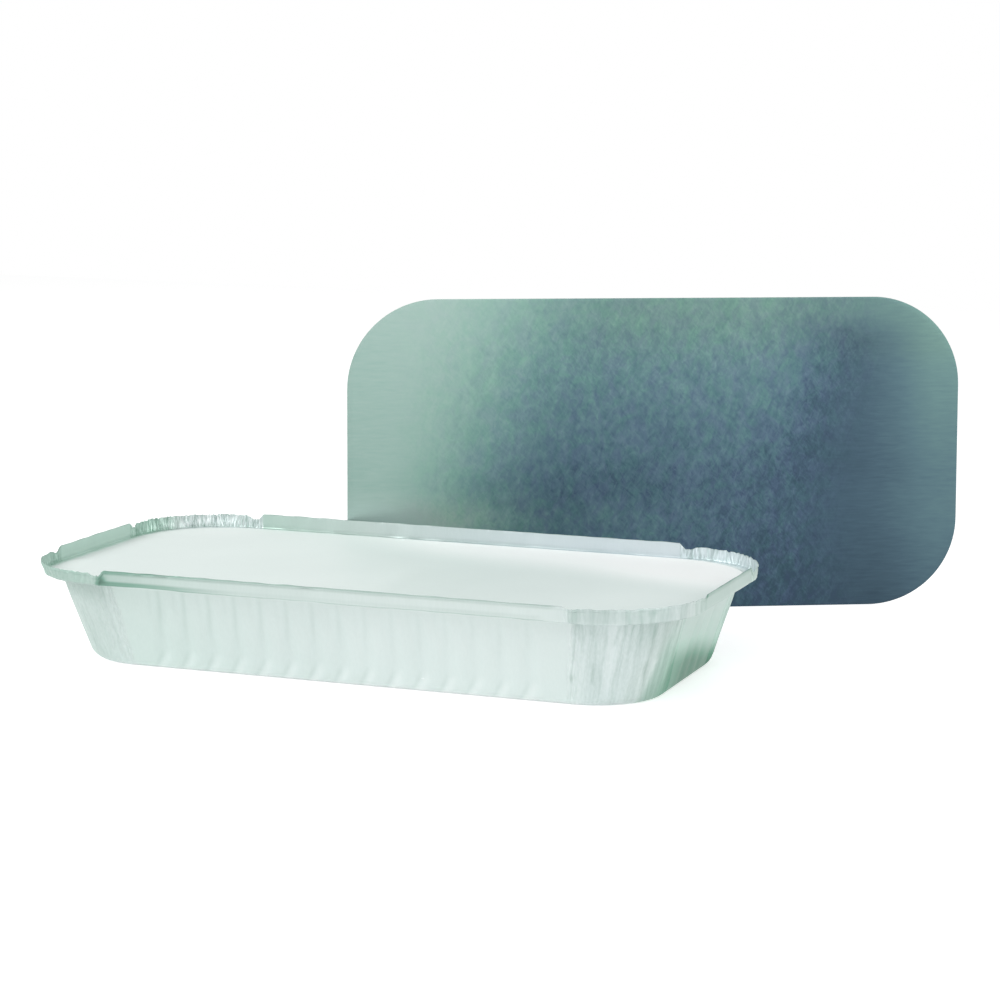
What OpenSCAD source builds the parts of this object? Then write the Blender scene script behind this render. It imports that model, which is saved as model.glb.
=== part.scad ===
// Foil food container: a drawn foil tray with an upright closing flange, a board lid laid in it
// on the shelf, and a second lid of the same kind stood against the rear flange.
// Frame: millimetres, origin at the centre of the base on the surface it stands on,
// X along the length, +Z up.

/* [Tray] */
// Length over the hem of the flange
tray_l = 320; // [270:1:400]
// Width over the hem of the flange
tray_w = 168; // [140:1:240]
// Height to the top of the flange
tray_h = 48; // [34:0.5:80]
// Thickness of the foil
foil_t = 0.1; // [0.08:0.01:0.3]
// Plan radius of the corners, measured on the flange
rim_r = 45; // [36:1:55]
// Plan radius of the corners where wall and base would meet
base_r = 31.5; // [25:0.5:42]
// Slope of the walls from upright, in degrees
wall_slope = 17; // [8:0.5:24]
// Radius of the bend between wall and base
foot_r = 5; // [3:0.5:9]

/* [Shelf and flange] */
// Width of the shelf that carries the lid
shelf_w = 8; // [5:0.5:12]
// Height of the flange above the shelf
flange_h = 7.2; // [5:0.1:12]
// Height of the hem along the flange's top edge
hem_h = 1.2; // [0.8:0.1:2]
// How far the hem stands out from the flange
hem_t = 0.3; // [0.2:0.05:0.6]
// Distance from a flap's end to the start of the corner
flap_gap = 4.5; // [3.5:0.5:8]
// Height and length of the slanted end of a flap
flap_chamfer = 3; // [1:0.5:3.2]
// How far the gathered corners stay below the flaps
corner_drop = 1.6; // [0.5:0.1:2.5]
// How far the gathered corners lean outward at their top
corner_flare = 0.8; // [0:0.1:2.5]

/* [Ribs and crimps] */
// Distance from rib to rib along a wall
rib_pitch = 12.75; // [10:0.25:20]
// Depth of the groove between two ribs
rib_depth = 1.2; // [0.4:0.1:2]
// Plain stretch kept between the ribs and a corner
rib_margin = 6.5; // [4:0.5:12]
// Depth of the gathers in the corners
crimp_depth = 1; // [0.3:0.1:1.6]
// Folds of foil in each corner
crimp_folds = 14; // [8:1:16]

/* [Lids] */
// Gap between the lid and the flange, all round
lid_gap = 4.25; // [2:0.25:5]
// How much rounder the lid's corners are than the flange beside them
lid_round = 4.5; // [0:0.25:7]
// Thickness of the laminated board
lid_t = 0.5; // [0.3:0.05:1]
// Lean of the second lid towards the tray, in degrees
stand_lean = 2; // [1:0.5:8]
// Turn of the second lid from the tray's length, in degrees
stand_turn = 27; // [15:1:40]
// Where the second lid's end touches the rear flange, along X
stand_touch = -64; // [-80:1:0]
// Clearance left at that touch
stand_gap = 0.3; // [0.2:0.05:0.5]

/* [Hidden] */
foil_colour = "gainsboro";
board_colour = "whitesmoke";
laminate_colour = "slategray";

// Tray section: height of the shelf, and how far in from the flange its parts stand
shelf_z = tray_h - flange_h;
wall_top_in = hem_t + shelf_w;
wall_foot_in = wall_top_in + (shelf_z - foil_t) * tan(wall_slope);
foot_bend = 90 - wall_slope;
foot_tangent = foot_r * tan(foot_bend / 2);

// Samples along one rib, and the share of each of them in the groove
rib_samples = 5;
// Gathers vary from fold to fold, the same way each time
crimp_seed = 11;

// One ring of the tray: [inset from the flange, height, plan radius, rib share, crimp share,
// share of the flange's height]
function wall_ring(share, rib, crimp) =
    let (in = wall_foot_in + (wall_top_in - wall_foot_in) * share)
    [in, (shelf_z - foil_t) * share, base_r + (rim_r - wall_top_in - base_r) * share, rib, crimp, 0];

// The bend between base and wall, turned by a part of its full angle
function bend_ring(part, rib, crimp) =
    let (angle = foot_bend * part)
    let (in = wall_foot_in + foot_tangent - foot_r * sin(angle))
    let (z = foot_r * (1 - cos(angle)))
    [in, z, base_r - (in - wall_foot_in), rib, crimp, 0];

function flange_ring(in, z, top) = [in, z, rim_r - in, 0, 1, top];

// The wall's ribs start just above the bend and run out just below the shelf
rib_low = 0.26;
rib_high = 0.9;
outer_rings = [
    bend_ring(0, 0, 0),
    bend_ring(0.5, 0.1, 0.1),
    bend_ring(1, 0.5, 0.25),
    wall_ring(rib_low, 1, 0.5),
    wall_ring(rib_high, 1, 0.9),
    wall_ring(1, 0.3, 1),
    flange_ring(hem_t, shelf_z - foil_t, 0),
    flange_ring(hem_t, tray_h - hem_h, 1),
    flange_ring(0, tray_h - hem_h, 1),
    flange_ring(0, tray_h, 1),
];

// The inner face of the sheet, offset by the foil's thickness
sheet_in = foil_t / cos(wall_slope);
function inner(ring, in, up) =
    [ring[0] + in, ring[1] + up, ring[2] - in, ring[3], ring[4], ring[5]];
function bend_inner(part, ring) =
    inner(ring, foil_t * sin(foot_bend * part), foil_t * cos(foot_bend * part));
inner_rings = [
    bend_inner(0, outer_rings[0]),
    bend_inner(0.5, outer_rings[1]),
    bend_inner(1, outer_rings[2]),
    inner(outer_rings[3], sheet_in, 0),
    inner(outer_rings[4], sheet_in, 0),
    inner(outer_rings[5], foil_t * tan(foot_bend / 2), foil_t),
    inner(outer_rings[6], foil_t, foil_t),
    inner(outer_rings[9], hem_t + foil_t, 0),
];

// Half of the ribbed stretch of side k: as many whole ribs as fit the straight of the base
function across(k) = (k % 2 == 0) ? [tray_l / 2, tray_w / 2] : [tray_w / 2, tray_l / 2];
function rib_count(k) =
    floor(2 * (across(k).y - wall_foot_in - base_r - rib_margin) / rib_pitch);
function rib_end(k) = rib_count(k) * rib_pitch / 2;

// One station round the tray: [side, zone, place, groove, gather, drop, flare]. In zone 0, place
// runs along the wall in millimetres; in zones -1 and 1 it is a share of the plain stretch at the
// side's ends; in zone 2 it is a share of the corner's quarter turn.
function groove(i) = -(1 - cos(360 * i / rib_samples)) / 2;
function rib_stations(k) = [
    for (i = [0:rib_count(k) * rib_samples])
        [k, 0, -rib_end(k) + i * rib_pitch / rib_samples, groove(i), 0, 0, 0]
];

function plain_share(k, gap) = 1 - gap / (across(k).y - rim_r - rib_end(k));
function end_stations(k) = [
    [k, 1, plain_share(k, flap_gap), 0, 0, 0, 0],
    [k, 1, plain_share(k, flap_gap - flap_chamfer), 0, 0, flap_chamfer, 0],
    [k, 1, 1, 0, -0.5, flap_chamfer, 0.2],
];
function mirrored(station) =
    [station[0], -1, station[2], station[3], station[4], station[5], station[6]];

corner_steps = 2 * crimp_folds + 1;
crimp_size = rands(0.55, 1, 4 * corner_steps, crimp_seed);
crimp_dip = rands(-0.3, 0.3, 4 * corner_steps, crimp_seed + 1);
function corner_stations(k) = [
    for (i = [1:corner_steps])
        let (share = i / (corner_steps + 1))
        let (n = k * corner_steps + i - 1)
        let (side = (i % 2 == 0) ? -1 : 0.4)
        [k, 2, share, 0, side * crimp_size[n], corner_drop + crimp_dip[n], sin(180 * share)]
];

stations = [
    for (k = [0:3])
        each concat(
            [for (i = [2:-1:0]) mirrored(end_stations(k)[i])],
            rib_stations(k),
            end_stations(k),
            corner_stations(k)
        )
];

// A side is worked out as if it faced +X, then turned to its place
function turned(p, k) =
    [p.x * cos(90 * k) - p.y * sin(90 * k), p.x * sin(90 * k) + p.y * cos(90 * k)];

// How far a station stands out from the smooth form on a ring
function relief(station, ring) =
    rib_depth * ring[3] * station[3]
    + crimp_depth * ring[4] * station[4]
    + corner_flare * ring[5] * station[6];

function plan_point(station, ring) =
    let (k = station[0])
    let (zone = station[1])
    let (half = across(k) - [ring[0], ring[0]])
    let (r = ring[2])
    let (out = relief(station, ring))
    let (plain_end = rib_end(k) + (half.y - r - rib_end(k)) * station[2])
    let (turn = 90 * station[2])
    zone == 0 ? turned([half.x + out, station[2]], k)
    : zone == 2 ? turned([half.x - r + (r + out) * cos(turn), half.y - r + (r + out) * sin(turn)], k)
    : turned([half.x + out, zone * plain_end], k);

function ring_point(station, ring) =
    let (p = plan_point(station, ring))
    [p.x, p.y, ring[1] - ring[5] * station[5]];

// Up the outside, over the hem and down the inside; each end is closed by a fan from its centre
tray_rings = concat(outer_rings, [for (i = [len(inner_rings) - 1:-1:0]) inner_rings[i]]);
ring_size = len(stations);
last_ring = len(tray_rings) - 1;
tray_points = concat(
    [for (ring = tray_rings) for (station = stations) ring_point(station, ring)],
    [[0, 0, 0], [0, 0, foil_t]]
);
under_centre = len(tray_points) - 2;
inside_centre = len(tray_points) - 1;

function at(ring, i) = ring * ring_size + i % ring_size;

// The sheet's two faces are cut along the same diagonals, so that neither passes through the other
function outer_pair(j, i) =
    [[at(j, i), at(j + 1, i), at(j + 1, i + 1)], [at(j, i), at(j + 1, i + 1), at(j, i + 1)]];
function inner_pair(j, i) =
    [[at(j, i), at(j + 1, i), at(j, i + 1)], [at(j + 1, i), at(j + 1, i + 1), at(j, i + 1)]];
tray_faces = concat(
    [for (j = [0:last_ring - 1]) for (i = [0:ring_size - 1])
        each (j < len(outer_rings)) ? outer_pair(j, i) : inner_pair(j, i)],
    [for (i = [0:ring_size - 1]) [under_centre, at(0, i), at(0, i + 1)]],
    [for (i = [0:ring_size - 1]) [inside_centre, at(last_ring, i + 1), at(last_ring, i)]]
);

module tray() {
    color(foil_colour)
        polyhedron(points = tray_points, faces = tray_faces, convexity = 6);
}

// Both lids are cut to one outline, which follows the flange's inner face
lid_in = hem_t + foil_t + lid_gap;
lid_l = tray_l - 2 * lid_in;
lid_w = tray_w - 2 * lid_in;
lid_r = rim_r - lid_in + lid_round;

module lid_outline() {
    square([lid_l - 2 * lid_r, lid_w], center = true);
    square([lid_l, lid_w - 2 * lid_r], center = true);
    for (x = [-1, 1])
        for (y = [-1, 1])
            translate([x * (lid_l / 2 - lid_r), y * (lid_w / 2 - lid_r)])
                circle(r = lid_r, $fn = 96);
}

module lid_sheet() {
    linear_extrude(height = lid_t)
        lid_outline();
}

module lid() {
    color(board_colour)
        translate([0, 0, shelf_z])
            lid_sheet();
}

// The second lid stands on its long edge. Its near end meets the flange's top edge, so the foot
// lies behind that touch by half the lid's length and by what the lean adds at that height.
touch_reach = tray_h * tan(stand_lean) + lid_t * cos(stand_lean);
stand_x = stand_touch + lid_l / 2 * cos(stand_turn) - touch_reach * sin(stand_turn);
stand_y = tray_w / 2 + stand_gap + lid_l / 2 * sin(stand_turn) + touch_reach * cos(stand_turn);

module spare_lid() {
    color(laminate_colour)
        translate([stand_x, stand_y, lid_t * sin(stand_lean)])
            rotate([90 + stand_lean, 0, stand_turn])
                translate([0, lid_w / 2, 0])
                    lid_sheet();
}

tray();
lid();
spare_lid();
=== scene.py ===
"""Looks of the foil food container: crimped foil tray, board lid laid in it, second lid behind."""

import math

import bpy
import numpy as np
from mathutils import Matrix, Vector

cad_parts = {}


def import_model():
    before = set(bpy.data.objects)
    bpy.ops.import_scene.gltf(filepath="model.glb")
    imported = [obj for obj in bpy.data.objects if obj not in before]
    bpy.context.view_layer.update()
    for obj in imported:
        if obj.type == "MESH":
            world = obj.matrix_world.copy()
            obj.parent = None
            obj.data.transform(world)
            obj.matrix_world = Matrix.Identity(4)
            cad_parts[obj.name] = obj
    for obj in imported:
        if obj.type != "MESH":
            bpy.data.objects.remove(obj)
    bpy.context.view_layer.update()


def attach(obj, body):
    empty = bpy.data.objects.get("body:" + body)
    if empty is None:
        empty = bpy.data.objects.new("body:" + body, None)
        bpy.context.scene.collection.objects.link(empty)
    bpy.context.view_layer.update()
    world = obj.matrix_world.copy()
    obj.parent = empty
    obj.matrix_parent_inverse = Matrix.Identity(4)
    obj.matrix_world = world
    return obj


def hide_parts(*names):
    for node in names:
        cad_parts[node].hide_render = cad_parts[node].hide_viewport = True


MM = 0.001

# Sizes of the tray, in millimetres, as the solids have them
TRAY_L = 320.0
TRAY_W = 168.0
TRAY_H = 48.0
FOIL_T = 0.1
RIM_R = 45.0
BASE_R = 31.5
WALL_SLOPE = math.radians(17.0)
FOOT_R = 5.0
SHELF_W = 8.0
FLANGE_H = 7.2
HEM_H = 1.2
HEM_T = 0.3
FLAP_CHAMFER = 3.0
CORNER_DROP = 1.6
SOLE_IN = 30.0
INNER_IN = 0.35
INNER_BASE_Z = 0.25
RIB_PITCH = 12.75
RIB_DEPTH = 1.2
RIB_MARGIN = 6.5

# Sizes and pose of the lids
LID_GAP = 4.25
LID_ROUND = 4.5
LID_T = 0.5
STAND_LEAN = math.radians(2.0)
STAND_TURN = math.radians(27.0)
STAND_TOUCH = -64.0
STAND_GAP = 0.3

# Bends past which an edge between faces is drawn sharp
FOIL_SHARP = math.radians(24)
LID_SHARP = math.radians(40)

# Heights and insets that follow from the sizes
SHELF_Z = TRAY_H - FLANGE_H
WALL_TOP_IN = HEM_T + SHELF_W
WALL_FOOT_IN = WALL_TOP_IN + (SHELF_Z - FOIL_T) * math.tan(WALL_SLOPE)
LID_IN = HEM_T + FOIL_T + LID_GAP
LID_L = TRAY_L - 2 * LID_IN
LID_W = TRAY_W - 2 * LID_IN
LID_R = RIM_R - LID_IN + LID_ROUND

# Viewpoint of the photograph, about the centre of the tray at flange height
PHOTO_AZIMUTH = math.radians(20.864)
PHOTO_ELEVATION = math.radians(9.190)
PHOTO_ROLL = math.radians(0.241)
PHOTO_DISTANCE = 1346.6
PHOTO_ASIDE = 46.59
PHOTO_ABOVE = 26.23
PHOTO_FOCAL_PX = 2892.6
PHOTO_PX = 1000
SENSOR = 36.0

# The floor ends where the lamps' light does, in metres: past it the world is as white as the lit floor
FLOOR_HALF = 1.8
FLOOR_GREY = (0.86, 0.86, 0.86, 1)
# Glow of the floor, and what it gains where it is seen and where the foil mirrors it
FLOOR_GLOW = 0.12
FLOOR_SEEN = 0.38
FLOOR_MIRRORED = 0.3
# Strength of the world as a light, and what it gains where it is seen or mirrored
WORLD_LIGHT = 0.5
WORLD_SEEN = 0.5

# Lamps, in metres and watts: name, place, target, size and power
LAMPS = (
    ("key_light", (-1.3, -0.8, 0.85), (0, 0, 0.02), (0.9, 0.7), 18),
    ("top_light", (0.1, -0.1, 1.2), (0, 0, 0), (0.9, 0.9), 1.2),
    ("fill_light", (1.5, -0.75, 0.75), (0, 0, 0.02), (1.0, 0.9), 12.5),
)


def smoothstep(x, low, high):
    t = np.clip((x - low) / (high - low), 0.0, 1.0)
    return t * t * (3 - 2 * t)


def fall(x, low, high):
    return 1 - smoothstep(x, low, high)


def rise_at(z, low, high):
    """Smoothstep of one number, as a number."""
    return float(smoothstep(z, low, high))


def bell(x, centre, width):
    return np.exp(-(((x - centre) / width) ** 2))


def lerp(a, b, t):
    return a + (b - a) * t


def waves(rng, count, short, long):
    """Random smooth ripple of unit height: a function of position along the rim and of height, in mm."""
    size = rng.uniform(0.4, 1.0, count)
    length = rng.uniform(short, long, count)
    heading = rng.uniform(-0.6, 0.6, count)
    phase = rng.uniform(0, 2 * math.pi, count)

    def ripple(along, z):
        total = np.zeros(np.broadcast(along, z).shape)
        for i in range(count):
            total += size[i] * np.sin(2 * math.pi * (along + heading[i] * z * 2) / length[i] + phase[i])
        return total / np.sqrt((size**2).sum())

    return ripple


# The columns of the tray's mesh, one after another round it

# Where the random draws of the folds and waves start
SEED = 29


def rib_count(k):
    """Whole ribs that fit the straight of the base on side k."""
    along = TRAY_W / 2 if k % 2 == 0 else TRAY_L / 2
    return math.floor(2 * (along - WALL_FOOT_IN - BASE_R - RIB_MARGIN) / RIB_PITCH)


def side_half(k):
    """Half sizes of the tray seen from side k: out to the side, and along it."""
    return (TRAY_L / 2, TRAY_W / 2) if k % 2 == 0 else (TRAY_W / 2, TRAY_L / 2)


RIB_SAMPLES = (0.0, 0.1, 0.19, 0.26, 0.32, 0.38, 0.44, 0.5, 0.56, 0.62, 0.68, 0.74, 0.81, 0.9)
PLAIN_SAMPLES = (0.1, 0.25, 0.4, 0.5, 0.58, 0.64, 0.69)
# Where a flap's slanted end starts and how long it is, as shares of the plain stretch
FLAP_END = 0.74
FLAP_SLANT = 0.155
CORNER_FOLDS = (26, 50, 24, 15)
FOLD_SAMPLES = 3
# How far the rim drops at each corner and at the flap ends beside it, how far it leans out,
# how deep its folds are and how far they wander
RIM_DROP = (CORNER_DROP, 1.1, CORNER_DROP, 0.45)
END_DROP = (FLAP_CHAMFER, FLAP_CHAMFER, FLAP_CHAMFER, 1.1)
CORNER_FLARE = (0.2, 0.8, 1.2, 0.3)
CORNER_DEPTH = (0.6, 0.7, 0.45, 0.42)
CORNER_WANDER = (0.7, 0.6, 0.7, 0.35)
RIM_RAGGED = (0.45, 0.45, 0.22, 0.27)
# Depth of a full fold and waves of the hem, in mm, and how deep the right end's ribs are beside the rest
FOLD_DEPTH = 0.62
HEM_WAVE = 0.05
END_RIBS = 0.33
# Where the gathers beside the corner's arc start and end, as shares of the plain stretch, and their columns
GATHER_START = 0.72
GATHER_END = 0.985
GATHER_COLUMNS = 13
# Heights at which each fold has its own depth
FOLD_KNOTS = np.array([0.0, 6.0, 14.0, 22.0, 30.0, 37.0, 41.0, 44.0, 48.0])


class Stations:
    """Columns round the tray.

    Each has a side, a zone (-1 and 1 beside the ribs, 0 in them, 2 in the corner) and a place in it. groove
    is the rib's share, drop and flare are the rim's, gather says how crimped it is, phase is the place
    within a rib or -1, and fine and coarse are the depths of its folds at each of FOLD_KNOTS.
    """

    def __init__(self, rng):
        rows = []
        folds = []
        for k in range(4):
            self.add_side(rows, folds, k, rng)
        table = np.array(rows, float).T
        self.side, self.zone = table[:2].astype(int)
        self.place, self.groove, self.drop, self.flare, self.gather, self.phase = table[2:]
        self.fine = np.array([fold[0] for fold in folds])
        self.coarse = np.array([fold[1] for fold in folds])
        self.count = len(rows)
        nearest = np.where(self.zone > 0, self.side, (self.side + 3) % 4)
        self.depth = np.array(CORNER_DEPTH)[nearest]
        self.wander = np.array(CORNER_WANDER)[nearest]

    def add_side(self, rows, folds, k, rng):
        none = np.zeros(len(FOLD_KNOTS))
        ribs = rib_count(k)
        end = ribs * RIB_PITCH / 2
        corner = self.corner_columns(k, rng)
        # end of the flap before the ribs, from the corner inwards, then the ribs, then the other end
        for share, fine, coarse, drop, gather in reversed(self.plain_columns(rng, END_DROP[(k + 3) % 4])):
            rows.append((k, -1, share, 0, drop, 0, gather, -1))
            folds.append((fine, coarse))
        for i in range(ribs):
            for t in RIB_SAMPLES:
                groove = (0.5 - 0.5 * math.cos(2 * math.pi * t)) ** 1.5
                rows.append((k, 0, -end + (i + t) * RIB_PITCH, groove, 0, 0, 0, t))
                folds.append((none, none))
        rows.append((k, 0, end, 0, 0, 0, 0, 0))
        folds.append((none, none))
        for share, fine, coarse, drop, gather in self.plain_columns(rng, END_DROP[k]):
            rows.append((k, 1, share, 0, drop, 0, gather, -1))
            folds.append((fine, coarse))
        for share, fine, coarse, drop, flare in corner:
            rows.append((k, 2, share, 0, drop, flare, 1, -1))
            folds.append((fine, coarse))

    def plain_columns(self, rng, end_drop):
        """Columns from the ribs to the corner: smooth, then the slanted flap end, then gathered."""
        none = np.zeros(len(FOLD_KNOTS))
        found = [(share, none, none, 0.0, 0.0) for share in PLAIN_SAMPLES]
        shares = np.linspace(GATHER_START, GATHER_END, GATHER_COLUMNS)
        sign = 1
        for i, share in enumerate(shares):
            crease = i % 2 == 1
            sign = -sign if crease else sign
            shallow, deep = (0.35, 1.0) if crease else (-0.1, 0.1)
            depth = rng.uniform(shallow, deep, len(FOLD_KNOTS))
            start = smoothstep(share, GATHER_START - 0.02, GATHER_START + 0.1)
            past = (share - FLAP_END) / FLAP_SLANT
            drop = end_drop * min(max(past, 0.0), 1.0)
            if share > 0.9:
                drop = end_drop + rng.uniform(-0.5, 0.15) * end_drop / FLAP_CHAMFER
            found.append((share, sign * depth * start, sign * 0.5 * depth * start, drop, start))
        return found

    def corner_columns(self, k, rng):
        """Columns of a quarter turn: sharp irregular folds, finer at the rim than on the wall."""
        widths = rng.uniform(0.55, 1.45, 2 * CORNER_FOLDS[k])
        edges = np.concatenate([[0], np.cumsum(widths)]) / widths.sum()
        fine_at = []
        for i in range(len(edges)):
            fine_at.append(rng.uniform(0.35, 1.0, len(FOLD_KNOTS)) * (1 if i % 2 else -1))
        group = 0
        coarse_at = []
        level = np.zeros(len(FOLD_KNOTS))
        sign = 1
        for i in range(len(edges)):
            if group == 0:
                group = rng.integers(1, 4)
                sign = -sign
                level = sign * rng.uniform(0.3, 1.0, len(FOLD_KNOTS))
                level = lerp(level, sign * np.abs(level).mean(), 0.5)
                coarse_at.append(level)
            else:
                coarse_at.append(level + rng.uniform(-0.3, 0.3, len(FOLD_KNOTS)))
            group -= 1
        drops = RIM_DROP[k] + rng.uniform(-1, 1, len(edges)) * RIM_RAGGED[k]
        found = []
        for i in range(len(edges) - 1):
            for step in range(FOLD_SAMPLES):
                t = step / FOLD_SAMPLES
                share = lerp(edges[i], edges[i + 1], t)
                fine = lerp(fine_at[i], fine_at[i + 1], t)
                coarse = lerp(coarse_at[i], coarse_at[i + 1], t)
                drop = lerp(drops[i], drops[i + 1], t)
                blend = smoothstep(share, 0.0, 0.06) * smoothstep(1 - share, 0.0, 0.06)
                drop = lerp(END_DROP[k], drop, blend)
                if k == 2:
                    arch = math.sin(math.pi * min(share * 1.15, 1.0)) ** 0.8
                else:
                    arch = math.sin(math.pi * share)
                found.append((share, fine, coarse, drop, CORNER_FLARE[k] * arch))
        return found


# The profile of the sheet, up the outside and down the inside

# Steps in the outer rounding of the hem's upper edge
HEM_STEPS = 3


def fillet(corner, before, after, radius, steps):
    """Points of a rounded corner between two straight stretches, in (out, height)."""
    corner, before, after = (np.array(p, float) for p in (corner, before, after))
    come = (corner - before) / np.linalg.norm(corner - before)
    leave = (after - corner) / np.linalg.norm(after - corner)
    bend = math.acos(float(np.clip(come @ leave, -1, 1)))
    reach = radius * math.tan(bend / 2)
    turn = np.sign(come[0] * leave[1] - come[1] * leave[0])
    start = corner - come * reach
    centre = start + turn * radius * np.array([-come[1], come[0]])
    spoke = start - centre
    points = []
    for i in range(steps + 1):
        angle = turn * bend * i / steps
        c, s = math.cos(angle), math.sin(angle)
        points.append(centre + np.array([c * spoke[0] - s * spoke[1], s * spoke[0] + c * spoke[1]]))
    return points


def sheet_profile():
    """Rings of the tray as (out, height), the outer face upwards and then the inner one downwards."""
    # each corner's place, radius and steps, and the rings between it and the one before
    corners = [
        ((-WALL_FOOT_IN - SOLE_IN, 0), 0, 0, 0),
        ((-WALL_FOOT_IN, 0), FOOT_R, 6, 1),
        ((-WALL_TOP_IN, SHELF_Z - FOIL_T), 1.3, 3, 15),
        ((-HEM_T, SHELF_Z - FOIL_T), 0.8, 4, 1),
        ((-HEM_T, TRAY_H - HEM_H), 0.0, 0, 4),
        ((0, TRAY_H - HEM_H + 0.12), 0.12, 2, 0),
        ((0, TRAY_H), 0.2, HEM_STEPS, 2),
        ((-HEM_T - FOIL_T, TRAY_H), 0.15, 2, 0),
        ((-HEM_T - FOIL_T, SHELF_Z), 0.7, 3, 4),
        ((-WALL_TOP_IN - INNER_IN, SHELF_Z), 1.2, 2, 1),
        ((-WALL_FOOT_IN - INNER_IN, INNER_BASE_Z), 4.6, 3, 3),
        ((-WALL_FOOT_IN - SOLE_IN, INNER_BASE_Z), 0, 0, 0),
    ]
    points = []
    for i, (corner, radius, steps, fill) in enumerate(corners):
        if radius > 0:
            arc = fillet(corner, corners[i - 1][0], corners[i + 1][0], radius, steps)
        else:
            arc = [np.array(corner, float)]
        if points and fill:
            last = points[-1]
            points += [lerp(last, arc[0], (j + 1) / (fill + 1)) for j in range(fill)]
        points += arc
    return np.array(points)


def profile_normals(points, inner_from):
    """Unit normals that point out of the tray on both faces of the sheet."""
    step = np.gradient(points, axis=0)
    step /= np.linalg.norm(step, axis=1)[:, None]
    normal = np.stack([step[:, 1], -step[:, 0]], axis=1)
    normal[inner_from:] *= -1
    return normal


def corner_radius(inset):
    return np.interp(
        inset,
        [0, WALL_TOP_IN, WALL_FOOT_IN, WALL_FOOT_IN + SOLE_IN],
        [RIM_R, RIM_R - WALL_TOP_IN, BASE_R, BASE_R - SOLE_IN],
    )


def tray_mesh():
    """The whole tray as one closed sheet, with ribs, gathers, flaps and hem."""
    rng = np.random.default_rng(SEED)
    stations = Stations(rng)
    profile = sheet_profile()
    # the steps of the hem's outer rounding still belong to the outer face
    inner_from = int(np.argmax(profile[:, 1] >= TRAY_H - 1e-6)) + HEM_STEPS
    normals = profile_normals(profile, inner_from)
    swell = waves(rng, 7, 34, 90)
    wobble = waves(rng, 8, 9, 40)
    edge_wave = waves(rng, 6, 14, 60)
    slide = waves(rng, 6, 10, 26)

    along = arc_positions(stations)
    rings = []
    tones = []
    for ring, ((out, z), (n_out, n_up)) in enumerate(zip(profile, normals)):
        inset = -out
        radius = float(corner_radius(inset))
        flat = rise_at(abs(n_up), 0.45, 0.95)
        lift = rise_at(z, SHELF_Z + 0.4, TRAY_H - HEM_H)
        rib = rise_at(z, 0.9, 5.5) * (1 - rise_at(z, SHELF_Z - 13, SHELF_Z - 1))
        above = rise_at(z, SHELF_Z - 0.5, SHELF_Z + 0.8)
        on_wall = rise_at(z, 0.6, 4.5)
        crisp = on_wall * (1 - 0.8 * flat)
        fine_share = lerp(lerp(0.2, 0.62, rise_at(z, 10, 38)), 0.5, above) * crisp
        coarse_share = lerp(lerp(0.75, 0.62, rise_at(z, 14, 40)), 0.18, above) * crisp
        folds = fine_share * interpolate(stations.fine, z) + coarse_share * interpolate(stations.coarse, z)
        soft = (0.22 * on_wall * (1 - above) + 0.16 * above) * (1 - flat)
        relief = (
            -RIB_DEPTH * rib * stations.groove * np.where(stations.side == 0, END_RIBS, 1.0)
            + FOLD_DEPTH * stations.depth * folds
            + soft * swell(along, z)
            + 0.07 * on_wall * wobble(along, z * 0.8)
        )
        leaning = stations.flare * lift**1.4
        shift = stations.wander * stations.gather * slide(along, z) * on_wall * (1 - flat)
        plan, facing = plan_points(stations, inset, radius, shift)
        reach = relief * n_out + leaning
        level = z + relief * n_up * on_wall - lift * stations.drop
        level = level + HEM_WAVE * lift * edge_wave(along, 0) * (1 - stations.gather)
        xy = plan + facing * reach[:, None]
        points = np.column_stack([xy, np.maximum(level, 0.0)])
        rings.append(points)
        tones.append(foil_tones(stations, points, out, z, ring < inner_from))
    return rings, tones, stations


def interpolate(table, z):
    """Depth of each column's fold at a height."""
    i = int(np.clip(np.searchsorted(FOLD_KNOTS, z) - 1, 0, len(FOLD_KNOTS) - 2))
    t = smoothstep(z, FOLD_KNOTS[i], FOLD_KNOTS[i + 1])
    return lerp(table[:, i], table[:, i + 1], t)


def arc_positions(stations):
    """Distance of each column along the rim, in mm."""
    plan, _ = plan_points(stations, 0.0, RIM_R, 0.0)
    step = np.linalg.norm(np.diff(plan, axis=0), axis=1)
    return np.concatenate([[0], np.cumsum(step)])


def plan_points(stations, inset, radius, shift):
    """Place of each column on a ring seen from above, and the way it faces."""
    out_half = np.array([side_half(k)[0] for k in stations.side]) - inset
    along_half = np.array([side_half(k)[1] for k in stations.side]) - inset
    rib_half = np.array([rib_count(k) * RIB_PITCH / 2 for k in stations.side])
    arc = stations.zone == 2
    straight = np.where(
        stations.zone == 0,
        stations.place,
        stations.zone * lerp(rib_half, along_half - radius, stations.place),
    )
    turn = np.where(arc, stations.place * math.pi / 2, 0.0)
    x = np.where(arc, out_half - radius + radius * np.cos(turn), out_half)
    y = np.where(arc, along_half - radius + radius * np.sin(turn), straight)
    face_x, face_y = np.cos(turn), np.sin(turn)
    x = x - shift * face_y
    y = y + shift * face_x
    quarter = stations.side * math.pi / 2
    c, s = np.cos(quarter), np.sin(quarter)
    plan = np.stack([x * c - y * s, x * s + y * c], axis=1)
    facing = np.stack([face_x * c - face_y * s, face_x * s + face_y * c], axis=1)
    return plan, facing


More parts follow.
